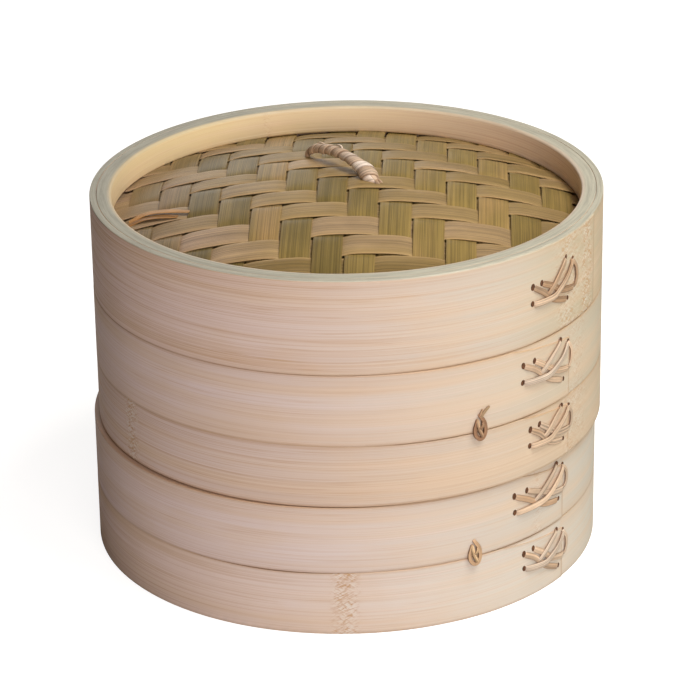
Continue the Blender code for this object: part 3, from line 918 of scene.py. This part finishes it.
# Node, hoop, body, angle of the topmost hole, tone, how wide and how high the left holes lie, and how far
# down the right holes reach, as a share.
STITCHES = (
    ("lid_stitch", "lid_outer_hoop", "lid", 54.4, 0.15, 0.96, 0.8, 1.0),
    ("upper_tier_upper_stitch", "upper_tier_upper_outer_hoop", "upper_tier", 52.8, 0.65, 1.04, 3.0, 1.0),
    ("upper_tier_lower_stitch", "upper_tier_lower_outer_hoop", "upper_tier", 53.3, 0.45, 0.9, 3.6, 0.82),
    ("lower_tier_upper_stitch", "lower_tier_upper_outer_hoop", "lower_tier", 53.6, 0.55, 1.18, 1.8, 0.9),
    ("lower_tier_lower_stitch", "lower_tier_lower_outer_hoop", "lower_tier", 54.0, 0.7, 0.95, 4.0, 0.95),
)


def lace(node, hoop, body, degrees, tone, wide, raised, right_share, seed):
    """A hoop's lapped ends, laced: places are millimetres along and up from the stitch's topmost hole."""
    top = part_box(node)[1][2] - 1.0 * MM
    wall = Wall(hoop, math.radians(degrees), top, LID_LAP_END if body == "lid" else LAP_END)
    rng = random.Random(seed)

    def near(along, up, spread=0.3):
        """A place on the wall; those on the left keep to the stitch's own width and height."""
        share = min(1.0, max(0.0, -along / 15))
        along = along * (1 + (wide - 1) * share) + rng.uniform(-spread, spread)
        up = up * (1 + (right_share - 1) * (1 - share)) + raised * share + rng.uniform(-spread, spread)
        return along, up

    top_left, top_right = near(0, 0), near(5.0, -2.3)
    right, low_right = near(6.4, -13.6), near(1.6, -17.4)
    left, far_left, low_left = near(-15.0, -6.4), near(-20.6, -6.8), near(-20.6, -13.6)
    surface = Surface()

    def strap(points, lift, width, shade):
        """A strap through points: it rises out of its first hole and dives into its last."""
        first, last = points[0], points[-1]
        after, before = points[1], points[-2]
        step = 0.16
        leave = [f + step * (a - f) for f, a in zip(first, after)]
        arrive = [f + step * (b - f) for f, b in zip(last, before)]
        path = [(*first, -0.9), (*leave, 0.5 * lift)]
        path += [(*p, lift) for p in points[1:-1]]
        path += [(*arrive, 0.5 * lift), (*last, -0.9)]
        wall.strap(surface, path, width, 0.4, rng.uniform(0, 99), tone + shade)

    strap([far_left, near(-14.6, -10.2, 0.2), near(-8.0, -14.8, 0.2), low_right], 0.3, 2.5, -0.2)
    strap([left, near(-9.0, -9.0, 0.2), near(-3.2, -12.0, 0.2), right], 0.5, 2.6, -0.1)
    strap([top_right, near(7.4, -5.5, 0.2), near(7.8, -10.0, 0.2), right], 0.6, 1.8, 0.1)
    strap([top_left, near(-4.5, -4.2, 0.2), near(-8.9, -8.6, 0.2), near(-12.6, -12.0, 0.2)], 0.8, 2.5, 0.12)
    strap([top_right, near(0.0, -7.0, 0.2), near(-5.4, -11.3, 0.2), near(-9.9, -13.2, 0.4), low_left],
          1.1, 2.8, 0.2)
    places = ((top_left, 1.6, 2.1), (top_right, 1.7, 2.0), (left, 1.8, 2.6), (far_left, 2.1, 2.9),
              (low_left, 2.0, 2.4), (right, 1.2, 1.6), (low_right, 1.4, 2.0))
    for (along, up), across, tall in places:
        outward = -0.6 if along < -10 else 0.3
        point = wall.point(along + outward, up + 0.4, 0.02)
        hole(surface, point, wall.normal(along), across * MM, tall * MM, rng.uniform(-0.4, 0.4))
    surface.piece(node + "_straps", body, [LACE, HOLE_SHADE], "lacing_cane", [node])


def knot(node, hoop, body, seed, tail, tone):
    """A loop of cane pulled through the wall and tucked under itself."""
    x, y, z = ((a + b) / 2 for a, b in zip(*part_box(node)))
    centre_x, centre_y = round_box(hoop)[0]
    wall = Wall(hoop, math.atan2(x - centre_x, centre_y - y), z + 0.6 * MM)
    surface = Surface()
    loop = [(-0.5, 3.4, -0.5), (-1.5, 2.0, 0.9), (-2.2, -0.4, 0.9), (-1.9, -2.8, 1.0), (-0.3, -4.7, 1.1),
            (1.3, -4.3, 1.2), (2.2, -2.0, 1.2), (2.1, 0.8, 1.1), (1.1, 3.0, 1.3), (0.1, 4.6, 0.9),
            (-0.2, 5.2, 0.3)]
    wall.strap(surface, loop, 1.7, 0.6, seed, tone, 60)
    bight = [(-0.9, 3.2, 0.5), (-1.1, 1.4, 1.5), (-0.5, -1.0, 1.8), (0.5, -3.2, 1.7), (1.0, -4.4, 0.8)]
    wall.strap(surface, bight, 1.5, 0.6, seed + 1, tone + 0.35, 30)
    crossing = [(1.2, 2.4, 0.6), (0.7, 1.2, 1.9), (-0.2, 0.2, 2.1), (-1.4, -0.6, 1.2)]
    wall.strap(surface, crossing, 1.3, 0.5, seed + 4, tone - 0.1, 20)
    if tail:
        long_end = [(0.3, 3.6, 1.2), (1.0, 5.2, 1.3), (2.6, 6.6, 1.0), (4.2, 7.8, 0.9)]
        wall.strap(surface, long_end, 1.3, 0.45, seed + 2, 0.6, 20, 0.6)
        short_end = [(0.2, 3.8, 0.9), (0.2, 5.4, 1.1), (1.1, 7.2, 0.9)]
        wall.strap(surface, short_end, 1.0, 0.4, seed + 3, 0.4, 16, 0.6)
    holes = ((0.4, 1.0, 1.0, 2.0), (-2.9, 1.6, 1.2, 1.5), (3.0, 2.2, 1.4, 1.2), (0.4, -5.2, 1.6, 1.0))
    for aside, up, wide, tall in holes:
        hole(surface, wall.point(aside, up, 0.02), wall.normal(aside), wide * MM, tall * MM, 0.2)
    surface.piece(node + "_cane", body, [KNOT, HOLE_SHADE], "lacing_cane", [node])


def ties():
    """Every stitch and knot on the outer wall."""
    for seed, stitch in enumerate(STITCHES):
        lace(*stitch, seed + 3)
    for tier, tail, tone in (("upper_tier", True, 0.15), ("lower_tier", False, 0.75)):
        for side in ("front", "back"):
            ends = tail and side == "front"
            knot(f"{tier}_knot_{side}", f"{tier}_lower_outer_hoop", tier, 12, ends, tone)


# ---- handle

# The handle's curve in millimetres along the line through its feet and up from it.
ARCH = ((-24.6, -1.6), (-23.3, 2.4), (-19.0, 5.3), (-12.2, 6.9), (-4.3, 7.6), (4.2, 7.0), (11.9, 4.9),
        (16.6, 2.9), (19.8, 1.2), (24.0, -1.2))
# Its core's radius in millimetres at these shares of the curve's length.
CORE_SHARES = (0, 0.08, 0.2, 0.4, 0.6, 0.72, 0.8, 0.86, 0.91, 1)
CORE_RADII = (0.6, 0.8, 1.3, 1.55, 1.65, 2.1, 2.75, 2.95, 1.9, 0.7)
STRANDS, HANDLE_TURNS = 2, 5.4
WOUND_FROM, WOUND_TO = 0.03, 0.905


class Arch:
    """The handle's curve over the line through its feet, and its core's radius along it."""

    def __init__(self):
        joint = handle_joint()
        self.middle = np.array(joint["pos_m"])
        self.chord = np.array(Vector(joint["axis"]).normalized())
        level = Vector((self.chord[0], self.chord[1], 0)).normalized()
        self.side = np.array((-level.y, level.x, 0))
        self.centre = smooth_path([self.at(*p) for p in ARCH], 600)
        self.ahead, self.length = course(self.centre)
        self.radius = np.interp(self.length / self.length[-1], CORE_SHARES, CORE_RADII) * MM

    def at(self, along, up, aside=0.0):
        return self.middle + (self.chord * along + np.array(UP) * up + self.side * aside) * MM


def handle():
    """A cane core wound with two flat strands, thickest near the front foot."""
    arch = Arch()
    winding(arch)
    up = np.cross(arch.side, arch.ahead)
    up *= np.sign(up[len(up) // 2, 2])
    turns = np.linspace(0, math.tau, 12, endpoint=False)
    ring = up[:, None] * np.cos(turns)[None, :, None] + arch.side * np.sin(turns)[None, :, None]
    sections = (arch.centre[:, None] + ring * arch.radius[:, None, None])[::12]
    grain = layers(arch.length[::12][:, None], np.append(turns, math.tau) * 1.5 * MM, 5.0)
    look = np.zeros_like(grain)
    look[..., 0] = 0.3
    core = Surface()
    core.sweep(sections, grain, look)
    core.piece("handle_core_cane", "handle", [HANDLE], "handle_cane", ["handle_core"])


def winding(arch):
    """Flat strips twisted round the core like a rope, with a few loose ends."""
    surface = Surface()
    rng = random.Random(2)
    for strand in range(STRANDS):
        twist(surface, arch, strand, rng)
    loops = (((-19.5, 6.3, 0.6), (-17.2, 8.2, 0.9), (-14.4, 8.6, 0.8), (-11.6, 8.0, 0.4)),
             ((-7.0, 8.9, 0.8), (-4.9, 10.2, 1.1), (-2.6, 10.0, 1.0), (-0.8, 8.5, 0.5)))
    for number, loop in enumerate(loops):
        path = smooth_path([arch.at(*p) for p in loop], 14)
        ribbon(surface, path, UP, 0.8 * MM, 0.3 * MM, number, 0.7, 0.4)
    for number in range(7):
        aside, reach = rng.uniform(-2.2, 2.0), rng.uniform(23.0, 25.4)
        tail = ((19.4, 2.5, 0.3 * aside), (21.8, 1.9, 0.7 * aside), (reach, 0.1, aside))
        path = smooth_path([arch.at(*p) for p in tail], 10)
        tone = rng.uniform(-0.5, 0.3)
        ribbon(surface, path, UP, 0.5 * MM, 0.3 * MM, number + 5, tone, 0.5)
    surface.piece("handle_winding", "handle", [HANDLE], "handle_cane", ["handle_wrap"])


def twist(surface, arch, strand, rng):
    """One strand's helix: its section lies along the core and bulges outward."""
    total = arch.length[-1]
    pitch = (WOUND_TO - WOUND_FROM) * total / HANDLE_TURNS
    count = int(HANDLE_TURNS) + 2
    wander, swell, shades = ([rng.uniform(*span) for _ in range(count)]
                             for span in ((-0.06, 0.06), (0.85, 1.25), (0.35, 0.95)))
    across = np.array((-1, -0.93, -0.75, -0.4, 0.0, 0.4, 0.75, 0.93, 1.0))
    top = 0.3 + 0.36 * (1 - across ** 2) ** 0.8 + 0.16 * across
    loop_across = np.concatenate((across, across[::-1]))
    loop_height = np.concatenate((top, np.zeros(len(across)) - 0.1))
    rim = np.append(np.abs(loop_across) > 0.9, True).astype(float)
    sections, grain, look = [], [], []
    for turn in np.linspace(0, HANDLE_TURNS, int(HANDLE_TURNS * 36) + 1):
        whole, part = int(turn), turn % 1
        drift, size, shade = (v[whole] * (1 - part) + v[whole + 1] * part for v in (wander, swell, shades))
        middle = WOUND_FROM * total + (turn + drift) * pitch
        # Darker towards the back foot, lighter towards the front foot; the light front turns are a painted
        # highlight.
        shade *= 0.4 + 0.75 * turn / HANDLE_TURNS
        place = np.clip(middle + loop_across * pitch / STRANDS * 0.56, 0, total)
        base, along = (np.stack([np.interp(place, arch.length, line[:, k]) for k in range(3)], -1)
                       for line in (arch.centre, arch.ahead))
        high = np.cross(arch.side, along)
        high *= np.sign(high[:, 2:3])
        thick = min(1.0, 0.35 + 1.2 * min(turn, HANDLE_TURNS - turn))
        out = np.interp(place, arch.length, arch.radius) + loop_height * size * thick * MM
        angle = (turn + strand / STRANDS) * math.tau
        sections.append(base + (high * math.cos(angle) + arch.side * math.sin(angle)) * out[:, None])
        wide = closed(loop_across) * pitch / 4 + closed(loop_height) * MM
        grain.append(layers(turn * 14 * MM, wide, 3.0 + strand))
        look.append(layers(shade, 0.2 * rim, 0.8 * rim))
    surface.sweep(*(np.array(part) for part in (sections, grain, look)))


def lashings():
    """Bands of flat cane round the middle rib, under the handle's feet."""
    along, across = rib_directions()
    for side in ("back", "front"):
        node = f"lid_lashing_{side}"
        start, end = node_span(node, across)
        low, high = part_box(node)
        middle = Vector([(a + b) / 2 for a, b in zip(low, high)])
        half = (end - start) / 2 - 0.5 * MM
        tall = (high[2] - low[2]) / 2 - 0.5 * MM
        surface = Surface()
        for band in (-1, 1):
            path, normals = [], []
            for turn in np.linspace(0, math.tau, 41):
                c, s = math.cos(turn), math.sin(turn)
                a = half * np.sign(c) * abs(c) ** 0.35
                b = tall * np.sign(s) * abs(s) ** 0.35
                slide = band * 1.0 * MM + 0.5 * MM * math.sin(turn * 0.5)
                path.append(np.array(middle + across * a + UP * b + along * slide))
                normals.append(np.array(across * c * tall + UP * s * half))
            ribbon(surface, path, normals, 1.8 * MM, 0.7 * MM, band + 4, 0.4)
        surface.piece(node + "_cane", "lid", [LACE], "lacing_cane", [node])


# ---- camera, floor, light

# Where the eye stands, in metres and radians, and how the camera is turned away from the basket's foot.
EYE_DISTANCE, EYE_ELEVATION = 1.383, 0.4586
LOOK_DOWN, LOOK_ASIDE, ROLL = -0.0499, 0.0018, -0.0164
LENS = 172.2


def camera():
    """A long lens, a little above the basket."""
    eye = Vector((0, -EYE_DISTANCE * math.cos(EYE_ELEVATION), EYE_DISTANCE * math.sin(EYE_ELEVATION)))
    forward = -eye.normalized()
    right = Vector((1, 0, 0))
    up = right.cross(forward)
    forward = forward * math.cos(LOOK_DOWN) - up * math.sin(LOOK_DOWN)
    up = right.cross(forward)
    forward = (forward * math.cos(LOOK_ASIDE) + right * math.sin(LOOK_ASIDE)).normalized()
    right = forward.cross(up).normalized()
    up = right.cross(forward)
    rolled_right = right * math.cos(ROLL) + up * math.sin(ROLL)
    rolled_up = up * math.cos(ROLL) - right * math.sin(ROLL)
    data = bpy.data.cameras.new("camera")
    data.sensor_width = 36
    data.lens = LENS
    data.clip_start, data.clip_end = 0.05, 50
    new = bpy.data.objects.new("camera", data)
    turn = Matrix((rolled_right, rolled_up, -forward)).transposed().to_4x4()
    aside = round_box("lower_tier_lower_outer_hoop")[0][0]
    new.matrix_world = Matrix.Translation(eye + Vector((aside, 0, 0))) @ turn
    bpy.context.scene.collection.objects.link(new)
    bpy.context.scene.camera = new


def area(name, place, size, power, colour, target=(0, 0, 0.08)):
    data = bpy.data.lights.new(name, "AREA")
    data.shape = "RECTANGLE"
    data.size, data.size_y = size
    data.energy = power
    data.color = colour
    new = bpy.data.objects.new(name, data)
    new.location = place
    new.rotation_euler = (Vector(target) - Vector(place)).to_track_quat("-Z", "Y").to_euler()
    bpy.context.scene.collection.objects.link(new)


def studio():
    """The floor, four soft lights and a faint warm glow from all round."""
    mesh = bpy.data.meshes.new("floor")
    half = 6.0
    corners = [(-half, -half, 0), (half, -half, 0), (half, half, 0), (-half, half, 0)]
    mesh.from_pydata(corners, [], [(0, 1, 2, 3)])
    mesh.materials.append(floor_material())
    ground = bpy.data.objects.new("floor", mesh)
    bpy.context.scene.collection.objects.link(ground)
    area("top", (0.5, -0.25, 1.25), (0.55, 0.55), 12.6, (1.0, 1.0, 0.97))
    area("key", (0.48, -1.67, 0.66), (0.8, 0.8), 18.0, (1.0, 0.98, 1.0))
    area("side", (1.6, -0.2, 0.5), (0.8, 0.8), 3.0, (0.72, 1.0, 0.76))
    area("back", (-0.35, 1.7, 0.55), (0.8, 0.8), 4.0, (1.0, 0.97, 0.93))
    world = bpy.data.worlds.new("studio")
    bpy.context.scene.world = world
    world.use_nodes = True
    glow = world.node_tree.nodes["Background"].inputs
    glow[0].default_value = (1.0, 0.88, 0.78, 1)
    glow[1].default_value = 0.1
    bpy.context.scene.view_settings.view_transform = "Standard"


camera()
studio()
outer_hoops()
inner_hoops()
floors()
ribs(cover())
slivers()
ties()
handle()
lashings()
